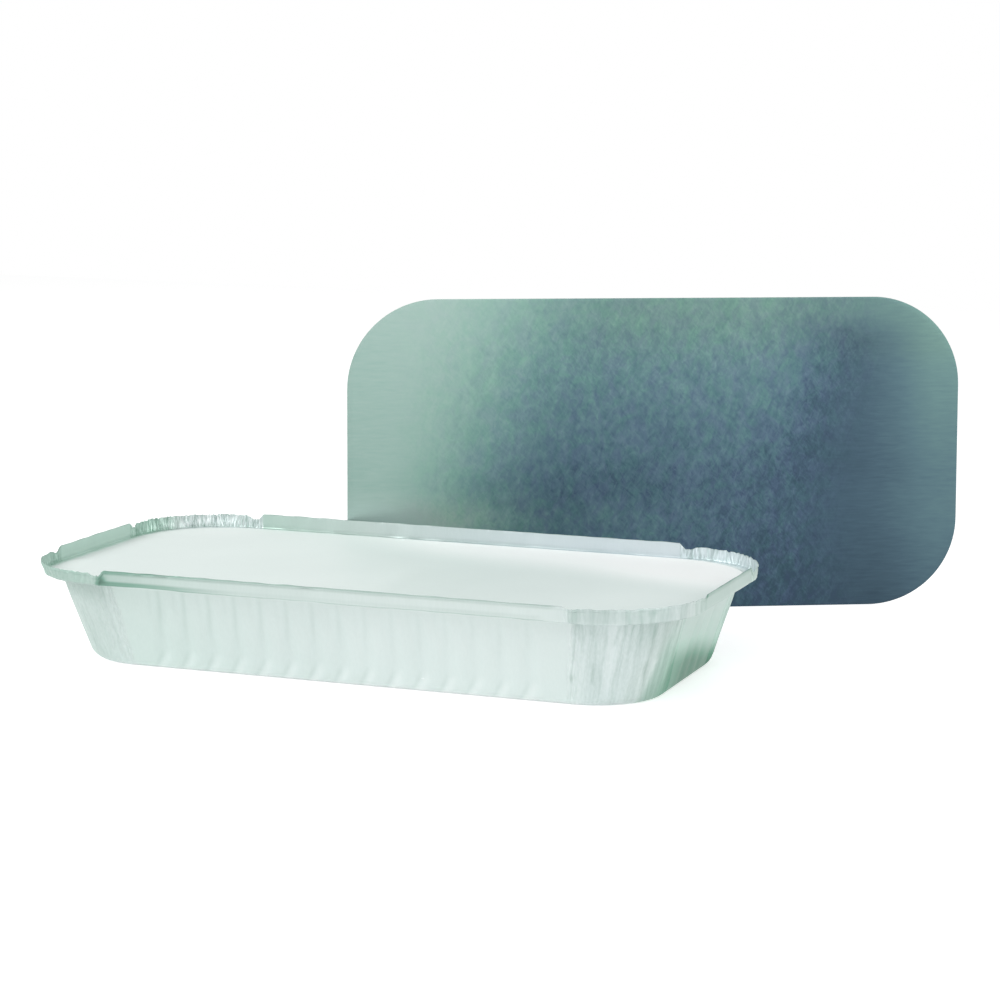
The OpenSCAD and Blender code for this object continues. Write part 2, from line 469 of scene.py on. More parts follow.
# How tones run along the tray: places on X in mm, and the values there
# WALL_TONE, FACE_SHADE, FLANK_SHADE, RIB_LINE, HEM_LINE and FOOT_LINE are painted shade
WALL_TONE = ((-150, -60, 20, 100, 135, 146), (0.735, 0.775, 0.802, 0.805, 0.79, 0.84))
FACE_SHADE = (
    (-156, -140, -116, -112, -90, -40, 100, 112, 130, 145, 158),
    (0.22, 0.12, 0.1, 0.265, 0.18, 0.1, 0.05, 0.06, 0.12, 0.18, 0.12),
)
LEFT_GREEN = ((-160, -110, -30), (0.3, 0.18, 0.0))
FLANK_SHADE = ((-90, 0), (1.3, 0.6))
RIB_LINE = ((-95, -30, 30), (1.0, 0.7, 0.35))
HEM_LINE = ((-112, -80, -40, 60, 104, 109), (0.95, 0.72, 0.62, 0.55, 0.5, 0.05))
FOOT_LINE = ((-112, -75, -40, 20, 60, 98, 107), (1.0, 0.85, 0.45, 0.45, 0.55, 0.5, 0.0))
MARKS = ((-100, 80), (0.5, 1.0))
# Crimping of the outer gathers, and of the inner ones that the lid hides
OUTER_CRIMP = 0.12
HIDDEN_CRIMP = 0.3
# The inner face's crimping, tone and greenness of the flaps and of the corners, and line at the foot; tone
# and line are painted shade
INNER_CRIMP = ((-150, 60, 140), (1.0, 0.8, 0.35))
FLAP_TONE = ((-158, -150, -112, -70, 0, 80, 150), (0.85, 0.85, 0.74, 0.75, 0.75, 0.85, 0.88))
FLAP_GREEN = ((-158, -110, -60, 0, 60), (0.9, 0.6, 0.1, -0.6, -1.0))
GATHER_TONE = ((-156, -146, -115, 115, 150), (0.66, 0.77, 0.77, 0.76, 0.74))
GATHER_GREEN = ((-158, -153, -148, -115, 115), (0.9, 0.5, -0.2, -0.3, -0.9))
INNER_FOOT = ((-155, -140, 60, 140), (0.15, 0.14, 0.14, 0.04))
# Tone and greenness of the sole
SOLE_TONE = 0.84
SOLE_GREEN = 0.15

# Dark pinches at two flap ends, then dark creases and, below zero, light streaks of the near right corner,
# all painted
# shade and light: both ends in mm, width and strength
CREASES = (
    ((-112.0, -84.0, 42.2), (-111.2, -84.0, 43.2), 1.9, 0.7),
    ((160.0, -34.7, 47.4), (160.0, -34.5, 47.4), 1.2, 0.6),
    ((108.5, -67.1, 11.5), (108.6, -67.4, 14.0), 0.9, 0.34),
    ((118.0, -66.1, 12.5), (118.9, -68.3, 19.5), 0.6, 0.16),
    ((135.0, -77.0, 45.0), (132.5, -71.2, 40.5), 1.6, 0.10),
    ((132.0, -70.5, 39.0), (128.5, -68.7, 29.5), 0.9, 0.14),
    ((145.4, -71.6, 45.5), (147.4, -70.0, 45.5), 1.1, 0.14),
    ((143.9, -58.8, 37.0), (143.1, -57.8, 32.0), 1.3, 0.14),
    ((138.3, -55.4, 19.5), (137.9, -54.9, 16.5), 1.4, 0.10),
    ((126.2, -72.4, 37.0), (125.4, -70.6, 31.0), 0.8, 0.08),
    ((120.0, -75.2, 40.0), (119.8, -73.8, 35.0), 1.4, 0.08),
    ((146.3, -48.1, 29.0), (140.0, -46.2, 10.5), 0.9, -0.12),
    ((147.4, -43.2, 28.5), (141.6, -39.4, 9.5), 0.9, -0.14),
    ((141.8, -50.9, 20.5), (135.8, -49.9, 5.0), 1.0, -0.12),
)


def foil_tones(stations, points, out, z, outer):
    """Brightness, holding painted shade and light, greenness, fine crimping and marks of the foil at each
    point of a ring.
    """
    if not outer:
        return inner_tones(stations, points, out, z)
    # the sole is plain
    if z < 0.05:
        none = np.zeros(stations.count)
        return none + SOLE_TONE, none + SOLE_GREEN, none, none
    x, y = points[:, 0], points[:, 1]
    on_face = rise_at(z, SHELF_Z + 0.2, SHELF_Z + 1.0)
    shade = wall_shade(x, y, z, on_face)
    shade *= rib_shade(stations, x, z)
    shade *= edge_shade(stations, x, out, z)
    shade *= crease_shade(points, z)
    end_shade, end_green = end_tones(x, y, z)
    green = np.interp(x, *LEFT_GREEN) - 0.22 * stations.gather * (x < -100) * (1 - on_face) + end_green
    marks = stations.gather * np.interp(x, *MARKS)
    return shade * end_shade, np.clip(green, -1, 1), OUTER_CRIMP * stations.gather, marks


def wall_shade(x, y, z, on_face):
    """Painted shade: the wall is a little darker at the left and in the corners, the flange darker than it.
    """
    shade = np.interp(x, *WALL_TONE)
    shade *= 1 - on_face * np.interp(x, *FACE_SHADE)
    shade *= 1 - (0.08 + 0.1 * rise_at(z, 28, 36)) * fall(x, -122, -106) * (y < 0)
    shade *= 1 - 0.05 * smoothstep(x, 113, 117) * (y < 0)
    shade *= 1 - 0.13 * smoothstep(x, 130, 142) * (1 - on_face) * rise_at(z, 18, 32) * (y < -45)
    # painted light lifts the wall's foot
    return shade * (1 + 0.16 * (1 - rise_at(z, 0.3, 2.5)))


def rib_shade(stations, x, z):
    """Painted shade and highlight: a darker left flank, a thin dark line past each rib's middle, a light
    hook at its foot.
    """
    phase = stations.phase
    ribbed = phase >= 0
    run = rise_at(z, 3, 10) * (1 - rise_at(z, SHELF_Z - 2, SHELF_Z - 0.5))
    flank = smoothstep(phase, 0.08, 0.2) * fall(phase, 0.25, 0.7)
    shade = 1 - (0.005 + 0.02 * rise_at(z, 12, 34)) * flank * run * np.interp(x, *FLANK_SHADE)
    middle = 0.46 + 0.15 * rise_at(z, 16, 40)
    line = bell(phase, middle, 0.09) - 0.5 * bell(phase, middle - 0.24, 0.12)
    line *= ribbed * run * rise_at(z, 8, 28)
    shade *= 1 - 0.075 * line * np.interp(x, *RIB_LINE)
    if z < 10:
        hook = 0.02 + 0.6 * math.sqrt(z / 10)
        low = ribbed * (1 - rise_at(z, 6, 10))
        shade *= 1 + 0.08 * low * bell(phase, hook + 0.1, 0.16)
        shade *= 1 - 0.07 * low * bell(phase, hook - 0.16, 0.08)
    return shade


def edge_shade(stations, x, out, z):
    """Painted shade: thin dark lines run along the hem and along the flange's foot, strongest at the left.
    """
    if out <= -0.5:
        return 1.0
    near = stations.side == 3
    straight = 1 - 0.75 * stations.gather
    if z > TRAY_H - HEM_H - 0.1:
        hem = np.where(near, np.interp(x, *HEM_LINE), 0.6)
        return 1 - 0.5 * straight * (hem if z > TRAY_H - 0.5 else 0.8 * hem**2)
    if z < SHELF_Z + 2.2:
        foot = np.where(near, np.interp(x, *FOOT_LINE), np.where(stations.side == 0, 0.15, 0.6))
        return 1 - 0.62 * straight * (foot if z < SHELF_Z + 0.5 else 0.85 * foot**3)
    return 1.0


def crease_shade(points, z):
    """Painted shade: the crease between the ribs and the near right corner opens into a V at the rim;
    others follow it.
    """
    x, y = points[:, 0], points[:, 1]
    crease = bell(x, 108.5 + 0.2 * (z - 12.5), 0.8 + 0.16 * max(z - 33.5, 0)) * (y < -60)
    shade = 1 - (0.04 + 0.09 * rise_at(z, 18, 24) + 0.05 * rise_at(z, 32, 38)) * crease
    for start, end, width, strength in CREASES:
        shade *= 1 - strength * stroke_weight(points, start, end, width)
    return shade


def end_tones(x, y, z):
    """Shade and greenness of the right end, whose low part is dark and green as a painted reflection."""
    right = (x > 60) * fall(y, 35, 75)
    end_wall = smoothstep(y, -42.5, -35) * right
    dark = end_wall * smoothstep(18 - 0.1 * y - 0.12 * np.maximum(y, 0) - z, -5, 8)
    dark *= lerp(0.62, 1, smoothstep(y, -38, -2))
    beside = smoothstep(y, -52.5, -46) * right * (1 - rise_at(z, 20, 38))
    shade = (1 - 0.71 * dark) * (1 - 0.24 * beside * (1 - end_wall)) * (1 - 0.05 * end_wall * (1 - dark))
    hue = smoothstep(y, -64, -36) * right
    green = 1.1 * np.sqrt(dark) + 0.4 * beside + 0.35 * hue
    return shade, green - 0.2 * smoothstep(x, 100, 120) * (1 - hue)


def inner_tones(stations, points, out, z):
    """The tones of the inner face of the sheet, which shows on the far and left flanges only; its dimming
    is painted shade.
    """
    x = points[:, 0]
    if z < SHELF_Z - 0.05 or out < -3:
        crimp = HIDDEN_CRIMP * stations.gather * (z > 0.3)
        return np.ones(stations.count), np.zeros(stations.count), crimp, crimp
    crimp = np.interp(x, *INNER_CRIMP) * stations.gather
    flap = stations.gather < 0.5
    shade = np.where(flap, np.interp(x, *FLAP_TONE), np.interp(x, *GATHER_TONE))
    green = np.where(flap, np.interp(x, *FLAP_GREEN), np.interp(x, *GATHER_GREEN))
    stripe = rise_at(z, SHELF_Z + 0.6, SHELF_Z + 1.4) * (1 - rise_at(z, SHELF_Z + 2, SHELF_Z + 3.5))
    shade *= 1 + 0.08 * stripe * (x < -150)
    foot = rise_at(SHELF_Z + 1.3 - z, 0, 0.6)
    shade *= 1 - foot * np.interp(x, *INNER_FOOT)
    return shade, np.clip(green, -1, 1), crimp, stations.gather


def stroke_weight(points, start, end, width):
    """Weight of a soft stroke between two places, from 1 on it to 0 away from it."""
    start, end = np.array(start), np.array(end)
    way = end - start
    share = np.clip((points - start) @ way / (way @ way), 0, 1)
    far = points - start - share[:, None] * way
    return np.exp(-(far**2).sum(axis=1) / width**2)


def build_tray():
    rings, tones, stations = tray_mesh()
    mesh, _ = ring_mesh("foil_tray", rings, (0, 0, 0), (0, 0, INNER_BASE_Z), FOIL_SHARP)
    add_attribute(mesh, "gather", np.append(np.tile(stations.gather, len(rings)), [0, 0]))
    add_attribute(mesh, "along", np.append(np.tile(arc_positions(stations), len(rings)), [0, 0]))
    # each tone, and what it is at the two centres of the base; shade holds painted shade and light
    for index, (name, plain) in enumerate((("shade", 1), ("green", 0), ("crimp", 0), ("marks", 0))):
        values = np.concatenate([tone[index] for tone in tones])
        add_attribute(mesh, name, np.append(values, [plain, plain]))
    return add_object("foil_tray", mesh)


def ring_mesh(name, rings, low_centre, high_centre, sharp):
    """Closed mesh over rings of points in mm, with a fan at each end. Returns the mesh and its points."""
    count = len(rings[0])
    points = np.vstack([*rings, low_centre, high_centre])
    i = np.arange(count)
    j = (i + 1) % count
    bands = []
    for r in range(len(rings) - 1):
        a, b = r * count, (r + 1) * count
        bands.append(np.stack([a + i, a + j, b + j, b + i], axis=1))
    last = (len(rings) - 1) * count
    low = np.stack([np.full(count, len(points) - 2), j, i], axis=1)
    high = np.stack([np.full(count, len(points) - 1), last + i, last + j], axis=1)
    mesh = bpy.data.meshes.new(name)
    faces = np.concatenate(bands).tolist() + low.tolist() + high.tolist()
    mesh.from_pydata((points * MM).tolist(), [], faces)
    mesh.update()
    mesh.shade_smooth()
    mesh.set_sharp_from_angle(angle=sharp)
    return mesh, points


def add_attribute(mesh, name, values):
    layer = mesh.attributes.new(name, "FLOAT", "POINT")
    layer.data.foreach_set("value", np.asarray(values, np.float32))


def add_object(name, data):
    obj = bpy.data.objects.new(name, data)
    bpy.context.scene.collection.objects.link(obj)
    return obj


# The lids

OUTLINE_ARCS = 96
OUTLINE_STEP = 4.0
LID_EDGE = 0.1
# The standing lid's right end is cut a little aslant, in mm, and its hidden face is lightened evenly by
# painted light
STAND_SLANT = 1.6
STAND_GLOW = 0.3
# The laid lid's hidden face is evenly bright and brushed
LAID_TONE = 0.8


def lid_outline(count):
    """Rounded rectangle of a lid, as points and outward directions."""
    arc_steps = count // 4
    points, facing = [], []
    for quarter in range(4):
        sx = 1 if quarter in (0, 3) else -1
        sy = 1 if quarter in (0, 1) else -1
        centre = np.array([sx * (LID_L / 2 - LID_R), sy * (LID_W / 2 - LID_R)])
        for step in range(arc_steps + 1):
            angle = (quarter + step / arc_steps) * math.pi / 2
            way = np.array([math.cos(angle), math.sin(angle)])
            points.append(centre + LID_R * way)
            facing.append(way)
    return np.array(points), np.array(facing)


def dense_outline():
    """The outline with its straight stretches divided as well."""
    points, facing = lid_outline(OUTLINE_ARCS)
    dense, ways = [], []
    for i in range(len(points)):
        nxt = (i + 1) % len(points)
        gap = np.linalg.norm(points[nxt] - points[i])
        parts = max(1, round(gap / OUTLINE_STEP))
        for p in range(parts):
            dense.append(lerp(points[i], points[nxt], p / parts))
            ways.append(lerp(facing[i], facing[nxt], p / parts))
    return np.array(dense), np.array(ways)


def laid_bow(x, y):
    return 0.12 * np.cos(x / 60) * np.cos(y / 50) - 0.1


def stand_bow(x, _):
    return 0.2 * np.cos(x / 70 + 0.6) - 0.2


def lid_mesh(name, bow, slant=0.0):
    """A board with rounded edges. The bow lifts it a little, and slant skews its right end, in mm."""
    outline, facing = dense_outline()
    outline[:, 0] -= slant * smoothstep(outline[:, 0], 30, 155) * outline[:, 1] / (LID_W / 2)
    # rings of the flat faces, as shares of the outline, and of the edge, as inset and height
    shares = [0.03, *np.arange(0.08, 0.97, 0.04), 0.98]
    section = [
        (LID_EDGE * 2, 0.0),
        (LID_EDGE * 0.3, LID_EDGE * 0.3),
        (0.0, LID_EDGE),
        (0.0, LID_T - LID_EDGE),
        (LID_EDGE * 0.3, LID_T - LID_EDGE * 0.3),
        (LID_EDGE * 2, LID_T),
    ]
    rows = [(outline * share, 0.0) for share in shares]
    rows += [(outline - facing * inset, height) for inset, height in section]
    rows += [(outline * share, LID_T) for share in reversed(shares)]
    rings = [np.column_stack([row, height + bow(row[:, 0], row[:, 1])]) for row, height in rows]
    middle = float(bow(np.zeros(1), np.zeros(1))[0])
    return ring_mesh(name, rings, (0, 0, middle), (0, 0, LID_T + middle), LID_SHARP)


def face_slots(mesh, top, edge, bottom):
    """Gives the upper face, the cut edge and the lower face of a lid their materials."""
    for material in (top, edge, bottom):
        mesh.materials.append(material)
    for face in mesh.polygons:
        if face.normal.z > 0.5:
            face.material_index = 0
        elif face.normal.z < -0.5:
            face.material_index = 2
        else:
            face.material_index = 1


def stand_place():
    """Pose of the second lid: on its long edge, turned, and leaning on the rear flange."""
    reach = TRAY_H * math.tan(STAND_LEAN) + LID_T * math.cos(STAND_LEAN)
    x = STAND_TOUCH + LID_L / 2 * math.cos(STAND_TURN) - reach * math.sin(STAND_TURN)
    y = TRAY_W / 2 + STAND_GAP + LID_L / 2 * math.sin(STAND_TURN) + reach * math.cos(STAND_TURN)
    place = Vector((x, y, LID_T * math.sin(STAND_LEAN))) * MM
    turn = Matrix.Rotation(STAND_TURN, 4, "Z") @ Matrix.Rotation(math.pi / 2 + STAND_LEAN, 4, "X")
    return Matrix.Translation(place) @ turn @ Matrix.Translation(Vector((0, LID_W / 2, 0)) * MM)


# Materials

# Tints by which the foil's colour is multiplied where it is green, cool and warm
FOIL_GREEN = (0.81, 0.98, 0.885, 1)
FOIL_COOL = (0.985, 0.99, 1.055, 1)
FOIL_WARM = (1.0, 0.97, 0.86, 1)


def feed(tree, socket, value):
    """Links a socket to another one, or sets it to a value."""
    if isinstance(value, bpy.types.NodeSocket):
        tree.links.new(value, socket)
    else:
        socket.default_value = value


def add_node(tree, kind, **inputs):
    """Adds a node. Inputs are given by socket name, with spaces as underscores, as values or sockets."""
    node = tree.nodes.new(kind)
    for name, value in inputs.items():
        feed(tree, node.inputs[name.replace("_", " ")], value)
    return node


def maths(tree, operation, *values):
    """A Math node over one to three values or sockets; returns its output."""
    node = tree.nodes.new("ShaderNodeMath")
    node.operation = operation
    for socket, value in zip(node.inputs, values):
        feed(tree, socket, value)
    return node.outputs[0]


def ramp(tree, value, stops):
    """A ColorRamp over grey or colour stops; returns its colour output."""
    node = tree.nodes.new("ShaderNodeValToRGB")
    tree.links.new(value, node.inputs[0])
    elements = node.color_ramp.elements
    while len(elements) > 1:
        elements.remove(elements[-1])
    for i, (place, colour) in enumerate(stops):
        element = elements[0] if i == 0 else elements.new(place)
        element.position = place
        element.color = (*colour, 1) if len(colour) == 3 else colour
    return node.outputs[0]


def new_material(name):
    material = bpy.data.materials.new(name)
    material.use_nodes = True
    tree = material.node_tree
    tree.nodes.clear()
    return material, tree


def finish_material(tree, shader):
    output = tree.nodes.new("ShaderNodeOutputMaterial")
    tree.links.new(shader.outputs[0], output.inputs["Surface"])


def noise(tree, where, scale, **more):
    """Grey output of a noise texture over coordinates in millimetres."""
    return add_node(tree, "ShaderNodeTexNoise", Vector=where, Scale=scale, **more).outputs["Fac"]


def scaled_position(tree, scale, turn=0.0):
    """Object coordinates in millimetres, turned about Z and then stretched by scale."""
    coords = tree.nodes.new("ShaderNodeTexCoord")
    turned = add_node(tree, "ShaderNodeMapping", Vector=coords.outputs["Object"], Rotation=(0, 0, turn))
    stretch = tuple(s / MM for s in scale)
    return add_node(tree, "ShaderNodeMapping", Vector=turned.outputs[0], Scale=stretch).outputs[0]


def fold_position(tree, stretch):
    """Coordinates in millimetres along the tray's rim and, stretched, up its wall."""
    along = add_node(tree, "ShaderNodeCombineXYZ", X=attribute(tree, "along"))
    shift = tree.nodes.new("ShaderNodeVectorMath")
    shift.operation = "ADD"
    tree.links.new(along.outputs[0], shift.inputs[0])
    tree.links.new(scaled_position(tree, (0, 0, stretch)), shift.inputs[1])
    return shift.outputs[0]


def attribute(tree, name):
    node = tree.nodes.new("ShaderNodeAttribute")
    node.attribute_name = name
    return node.outputs["Fac"]


def multiply_colour(tree, colour, tint, factor):
    """Multiplies a colour by a tint, by as much as factor says."""
    node = tree.nodes.new("ShaderNodeMix")
    node.data_type = "RGBA"
    node.blend_type = "MULTIPLY"
    # the factor, and the two colours of the node's RGBA form
    for index, value in ((0, factor), (6, colour), (7, tint)):
        feed(tree, node.inputs[index], value)
    return node.outputs[2]


def foil_material():
    material, tree = new_material("tray_foil")
    gather = attribute(tree, "gather")
    here = scaled_position(tree, (1, 1, 1))
    cloud = noise(tree, here, 0.02, Detail=3.0)
    wrinkle = noise(tree, here, 0.16, Detail=4.0, Roughness=0.55, Distortion=0.6)
    grain = noise(tree, scaled_position(tree, (1, 1, 0.2)), 1.2, Detail=2.0)
    band = noise(tree, fold_position(tree, 0.05), 0.3, Detail=1.5)
    stroke = noise(tree, fold_position(tree, 0.1), 0.4, Detail=1.0, Distortion=0.2)
    # brightness: clouds and grain all over, finer grain in the crimps, and long marks up the gathers
    vary = maths(tree, "MULTIPLY_ADD", cloud, 0.1, 0.92)
    vary = maths(tree, "MULTIPLY_ADD", grain, 0.06, vary)
    fine = maths(tree, "MULTIPLY", maths(tree, "SUBTRACT", grain, 0.5), attribute(tree, "crimp"))
    vary = maths(tree, "MULTIPLY_ADD", fine, 1.3, vary)
    mark = maths(tree, "MAXIMUM", maths(tree, "SUBTRACT", stroke, 0.55), 0.0)
    mark = maths(tree, "MULTIPLY_ADD", mark, -1.2, maths(tree, "SUBTRACT", band, 0.5))
    mark = maths(tree, "MULTIPLY", mark, attribute(tree, "marks"))
    vary = maths(tree, "MULTIPLY_ADD", mark, 0.42, vary)
    # the shade attribute darkens and lightens the foil's colour: painted shade and light
    tone = maths(tree, "MULTIPLY", vary, maths(tree, "MULTIPLY", attribute(tree, "shade"), 0.9))
    colour = ramp(tree, tone, [
        (0.0, (0.04, 0.083, 0.064)),
        (0.32, (0.20, 0.34, 0.28)),
        (0.54, (0.42, 0.51, 0.48)),
        (0.72, (0.60, 0.67, 0.655)),
        (0.86, (0.72, 0.77, 0.76)),
        (0.94, (0.77, 0.815, 0.81)),
        (1.0, (0.86, 0.89, 0.885)),
    ])
    green = attribute(tree, "green")
    colour = multiply_colour(tree, colour, FOIL_GREEN, green)
    colour = multiply_colour(tree, colour, FOIL_COOL, maths(tree, "MULTIPLY", green, -1.0))
    rough = maths(tree, "MULTIPLY_ADD", cloud, 0.1, 0.34)
    rough = maths(tree, "MULTIPLY_ADD", gather, 0.14, rough)
    height = maths(tree, "MULTIPLY", wrinkle, 0.5)
    height = maths(tree, "MULTIPLY_ADD", grain, 0.04, height)
    strength = maths(tree, "MULTIPLY_ADD", gather, 0.16, 0.08)
    bump = add_node(tree, "ShaderNodeBump", Strength=strength, Distance=0.0004, Height=height)
    shader = add_node(
        tree, "ShaderNodeBsdfPrincipled", Base_Color=colour, Metallic=0.62, Roughness=rough,
        Normal=bump.outputs["Normal"],
    )
    finish_material(tree, shader)
    return material


def board_material():
    material, tree = new_material("lid_board")
    here = scaled_position(tree, (1, 1, 1))
    fibre = noise(tree, here, 0.9, Detail=4.0)
    cloud = noise(tree, here, 0.012, Detail=2.0)
    tone = maths(tree, "MULTIPLY_ADD", fibre, 0.06, 0.3)
    tone = maths(tree, "MULTIPLY_ADD", cloud, 0.14, tone)
    # the glow attribute adds painted light and shade to the board
    tone = maths(tree, "ADD", tone, attribute(tree, "glow"))
    colour = ramp(tree, tone, [
        (0.2, (0.64, 0.725, 0.70)),
        (0.4, (0.76, 0.84, 0.815)),
        (0.7, (0.945, 0.985, 0.97)),
        (0.85, (0.98, 1.0, 0.99)),
    ])
    bump = add_node(tree, "ShaderNodeBump", Strength=0.06, Distance=0.0002, Height=fibre)
    shader = add_node(
        tree, "ShaderNodeBsdfPrincipled", Base_Color=colour, Roughness=0.5, Normal=bump.outputs["Normal"],
    )
    shader.inputs["Specular IOR Level"].default_value = 0.15
    finish_material(tree, shader)
    return material


def edge_material():
    material, tree = new_material("lid_edge")
    layers = noise(tree, scaled_position(tree, (0.2, 0.2, 6)), 1.0, Detail=2.0)
    colour = ramp(tree, layers, [(0.3, (0.50, 0.52, 0.50)), (0.7, (0.72, 0.74, 0.71))])
    shader = add_node(tree, "ShaderNodeBsdfPrincipled", Base_Color=colour, Roughness=0.7)
    finish_material(tree, shader)
    return material


def laminate_material():
    """Foil face of the lids: short mottled strokes and blots of two hues, and fine streaks."""
    material, tree = new_material("lid_foil")
    # the tone attribute holds the standing lid's painted reflections
    tone = attribute(tree, "tone")
    streaky = attribute(tree, "streak")
    mottled = attribute(tree, "mottled")
    strokes = []
    for turn, scale in ((0.4, 0.42), (-0.65, 0.5)):
        where = scaled_position(tree, (1, 0.42, 1), turn)
        strokes.append(noise(tree, where, scale, Detail=2.5, Roughness=0.6, Distortion=0.9))
    blot = noise(tree, scaled_position(tree, (1, 0.7, 1)), 0.13, Detail=2.5, Distortion=0.8)
    where = scaled_position(tree, (0.1, 0.7, 1))
    streaks = noise(tree, where, 1.0, Detail=3.0, Roughness=0.6, Distortion=0.3)
    patch = maths(tree, "SUBTRACT", maths(tree, "ADD", *strokes), 1.0)
    patch = maths(tree, "MULTIPLY_ADD", maths(tree, "SUBTRACT", blot, 0.5), 0.9, patch)
    line = maths(tree, "SUBTRACT", streaks, 0.5)
    mixed = maths(tree, "MULTIPLY", patch, maths(tree, "MULTIPLY", mottled, 0.26))
    mixed = maths(tree, "MULTIPLY_ADD", line, maths(tree, "MULTIPLY", streaky, 0.13), mixed)
    level = maths(tree, "ADD", tone, mixed)
    colour = ramp(tree, level, [
        (0.0, (0.040, 0.072, 0.108)),
        (0.115, (0.060, 0.107, 0.152)),
        (0.23, (0.086, 0.154, 0.197)),
        (0.346, (0.116, 0.207, 0.230)),
        (0.46, (0.152, 0.269, 0.272)),
        (0.577, (0.206, 0.342, 0.319)),
        (0.69, (0.270, 0.415, 0.375)),
        (0.81, (0.360, 0.482, 0.448)),
        (1.0, (0.465, 0.59, 0.575)),
    ])
    where = scaled_position(tree, (1, 0.7, 1), 0.3)
    hue = noise(tree, where, 0.13, Detail=3.0, Roughness=0.7, Distortion=0.6)
    tint = ramp(tree, hue, [
        (0.36, (0.90, 1.0, 0.91)),
        (0.5, (0.955, 0.955, 0.955)),
        (0.64, (1.0, 0.91, 1.0)),
    ])
    colour = multiply_colour(tree, colour, tint, mottled)
    colour = multiply_colour(tree, colour, FOIL_WARM, attribute(tree, "warm"))
    bump_height = maths(tree, "ADD", mixed, 0.5)
    bump = add_node(tree, "ShaderNodeBump", Strength=0.2, Distance=0.0004, Height=bump_height)
    shader = add_node(
        tree, "ShaderNodeBsdfPrincipled", Base_Color=colour, Metallic=0.9, Roughness=0.5,
        Normal=bump.outputs["Normal"],
    )
    finish_material(tree, shader)
    return material


# The setting, lights and camera


def photo_axes():
    ce, se = math.cos(PHOTO_ELEVATION), math.sin(PHOTO_ELEVATION)
    back = Vector((math.sin(PHOTO_AZIMUTH) * ce, -math.cos(PHOTO_AZIMUTH) * ce, se))
    right = Vector((math.cos(PHOTO_AZIMUTH), math.sin(PHOTO_AZIMUTH), 0))
    up = back.cross(right)
    cr, sr = math.cos(PHOTO_ROLL), math.sin(PHOTO_ROLL)
    return right * cr + up * sr, up * cr - right * sr, back


def add_camera():
    right, up, back = photo_axes()
    place = Vector((0, 0, TRAY_H)) + back * PHOTO_DISTANCE + right * PHOTO_ASIDE + up * PHOTO_ABOVE
    data = bpy.data.cameras.new("photo_camera")
    data.sensor_width = SENSOR
    data.lens = PHOTO_FOCAL_PX / PHOTO_PX * SENSOR
    data.clip_start = 0.02
    data.clip_end = 30
    camera = add_object("photo_camera", data)
    turn = Matrix((right, up, back)).transposed().to_4x4()
    camera.matrix_world = Matrix.Translation(place * MM) @ turn
    bpy.context.scene.camera = camera


def add_area(name, place, target, size, power):
    data = bpy.data.lights.new(name, "AREA")
    data.shape = "RECTANGLE"
    data.size, data.size_y = size
    data.energy = power
    light = add_object(name, data)
    way = (Vector(target) - Vector(place)).normalized()
    turn = way.to_track_quat("-Z", "Y").to_matrix().to_4x4()
    light.matrix_world = Matrix.Translation(Vector(place)) @ turn


def add_world():
    world = bpy.data.worlds.new("studio")
    world.use_nodes = True
    bpy.context.scene.world = world
    tree = world.node_tree
    tree.nodes.clear()
    path = tree.nodes.new("ShaderNodeLightPath")
    shown = maths(tree, "MAXIMUM", path.outputs["Is Camera Ray"], path.outputs["Is Glossy Ray"])
    shown = maths(tree, "MAXIMUM", shown, path.outputs["Is Transmission Ray"])
    strength = maths(tree, "MULTIPLY_ADD", shown, WORLD_SEEN, WORLD_LIGHT)
    background = add_node(tree, "ShaderNodeBackground", Strength=strength)
    background.inputs["Color"].default_value = (1, 1, 1, 1)
    output = tree.nodes.new("ShaderNodeOutputWorld")
    tree.links.new(background.outputs[0], output.inputs["Surface"])


def add_floor():
    mesh = bpy.data.meshes.new("floor")
    corners = [(FLOOR_HALF * x, FLOOR_HALF * y, 0) for x, y in ((-1, -1), (1, -1), (1, 1), (-1, 1))]
    mesh.from_pydata(corners, [], [(0, 1, 2, 3)])
    floor = add_object("floor", mesh)
    material, tree = new_material("floor")
    path = tree.nodes.new("ShaderNodeLightPath")
    shown = maths(tree, "MAXIMUM", path.outputs["Is Camera Ray"], path.outputs["Is Transmission Ray"])
    glow = maths(tree, "MULTIPLY_ADD", shown, FLOOR_SEEN, FLOOR_GLOW)
    glow = maths(tree, "MULTIPLY_ADD", path.outputs["Is Glossy Ray"], FLOOR_MIRRORED, glow)
    shader = add_node(tree, "ShaderNodeBsdfPrincipled", Base_Color=FLOOR_GREY, Roughness=0.9)
    shader.inputs["Specular IOR Level"].default_value = 0.0
    shader.inputs["Emission Color"].default_value = (1, 1, 1, 1)
    tree.links.new(glow, shader.inputs["Emission Strength"])
    finish_material(tree, shader)
    mesh.materials.append(material)


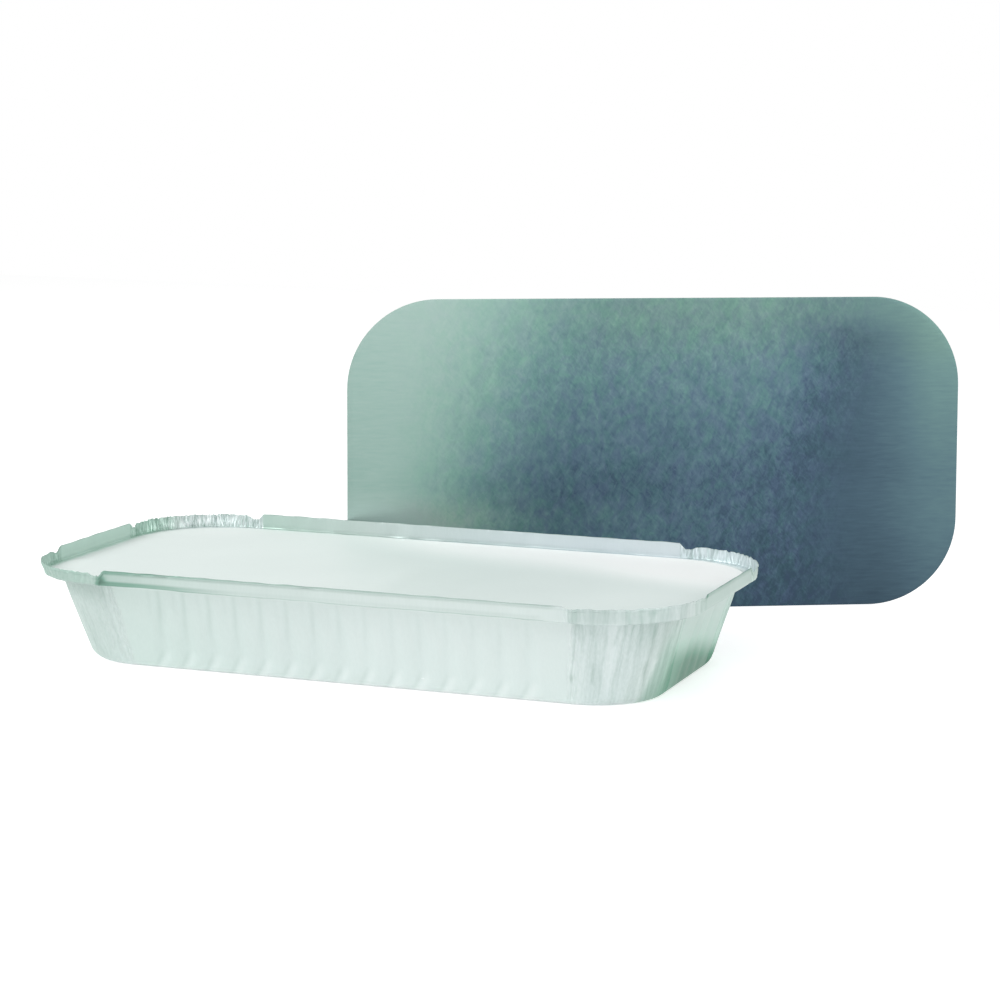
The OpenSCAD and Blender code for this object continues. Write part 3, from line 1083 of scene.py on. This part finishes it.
def stand_tone(flat):
    """Brightness (painted reflections), streakiness, mottling and warmth of the standing lid's foil, at
    places on it in mm.
    """
    u = flat[:, 0] / LID_L + 0.5
    v = flat[:, 1] / LID_W + 0.5
    # painted reflection: darker downwards, light at the left behind a slanting edge
    tone = 0.162 + 0.41 * (v - 0.31) - 0.025 * bell(v, 0.42, 0.08)
    left = fall(u - 0.13 * (v - 0.3), 0.02, 0.35)
    tone = lerp(tone, 0.76 + 0.02 * smoothstep(v, 0.75, 0.95), left)
    # painted reflection: a dark upright band towards the right, then a lighter end
    middle = 0.82 + 0.012 * np.sin(9 * v + 1)
    side = np.where(u < middle, 0.10 + 0.05 * fall(v, 0.5, 0.85), 0.075)
    tone *= 1 - 0.52 * bell(u, middle, side) * (1 - 0.75 * smoothstep(v, 0.85, 0.97))
    tone += smoothstep(u, 0.87, 0.98) * lerp(0.1, 0.04, smoothstep(v, 0.25, 0.6))
    tone -= 0.03 * bell(u, 0.5, 0.12) * bell(v, 0.58, 0.18)
    tone -= 0.045 * smoothstep(u, 0.66, 0.78) * fall(u, 0.9, 0.96) * smoothstep(v, 0.35, 0.5)
    # painted light giving back what the tray's shadow takes away, low at the left
    lift = 0.09 + 0.2 * bell(u, 0.18, 0.12) + 0.06 * fall(u, 0.0, 0.2)
    tone += lift * fall(v, 0.26, 0.42) * fall(u, 0.45, 0.65)
    # a warmer end and upper edge
    warm = 0.1 + 0.6 * smoothstep(u, 0.72, 0.9)
    warm += 0.85 * smoothstep(v, 0.74, 0.97) * smoothstep(u, 0.22, 0.5)
    streak = np.clip(smoothstep(u + 0.03 * np.sin(5 * v), 0.74, 0.88) + fall(u, 0.04, 0.16), 0, 1)
    mottled = (1 - streak) * (1 - 0.7 * left) * (1 - 0.3 * smoothstep(v, 0.8, 1.0))
    return tone, streak, mottled, np.clip(warm, 0, 1)


def board_glow(flat):
    """Soft light along the far side and the ends of the lid in the tray, and a faint shade before it."""
    x, y = flat[:, 0], flat[:, 1]
    wide = np.interp(x, [-60, 0, 80, 150], [2, 24, 38, 60])
    glow = smoothstep(y - (LID_W / 2 - wide), -30, 24) * smoothstep(x, -80, 0)
    corner = smoothstep(y, 40, 76) * fall(x, -130, -90)
    shade = smoothstep(x + 0.1 * y, -2, 12) * fall(y, -20, 30) * (1 - 0.9 * smoothstep(x, 30, 140))
    foot = fall(x, -154, -140)
    end = smoothstep(x, 70, 130) * smoothstep(y, 10, 60)
    light = 0.4 * glow + 0.08 * corner + 0.2 * end + 0.06 * foot
    return light - 0.065 * shade - 0.02 * fall(x, 20, 120)


def main():
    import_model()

    foil = foil_material()
    board = board_material()
    edge = edge_material()
    laminate = laminate_material()

    tray = build_tray()
    tray.data.materials.append(foil)
    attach(tray, "root")
    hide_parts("tray")

    mesh, flat = lid_mesh("board_lid", laid_bow)
    add_attribute(mesh, "tone", np.full(len(flat), LAID_TONE))
    add_attribute(mesh, "streak", np.full(len(flat), 1.0))
    add_attribute(mesh, "glow", board_glow(flat))
    face_slots(mesh, board, edge, laminate)
    lid = add_object("board_lid", mesh)
    lid.matrix_world = Matrix.Translation((0, 0, SHELF_Z * MM))
    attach(lid, "root")
    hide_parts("lid")

    mesh, flat = lid_mesh("standing_lid", stand_bow, STAND_SLANT)
    for name, values in zip(("tone", "streak", "mottled", "warm"), stand_tone(flat)):
        add_attribute(mesh, name, values)
    add_attribute(mesh, "glow", np.full(len(flat), STAND_GLOW))
    face_slots(mesh, laminate, edge, board)
    spare = add_object("standing_lid", mesh)
    spare.matrix_world = stand_place()
    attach(spare, "root")
    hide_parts("spare_lid")

    bpy.context.scene.view_settings.view_transform = "Standard"
    add_floor()
    add_world()
    add_camera()
    for lamp in LAMPS:
        add_area(*lamp)


main()
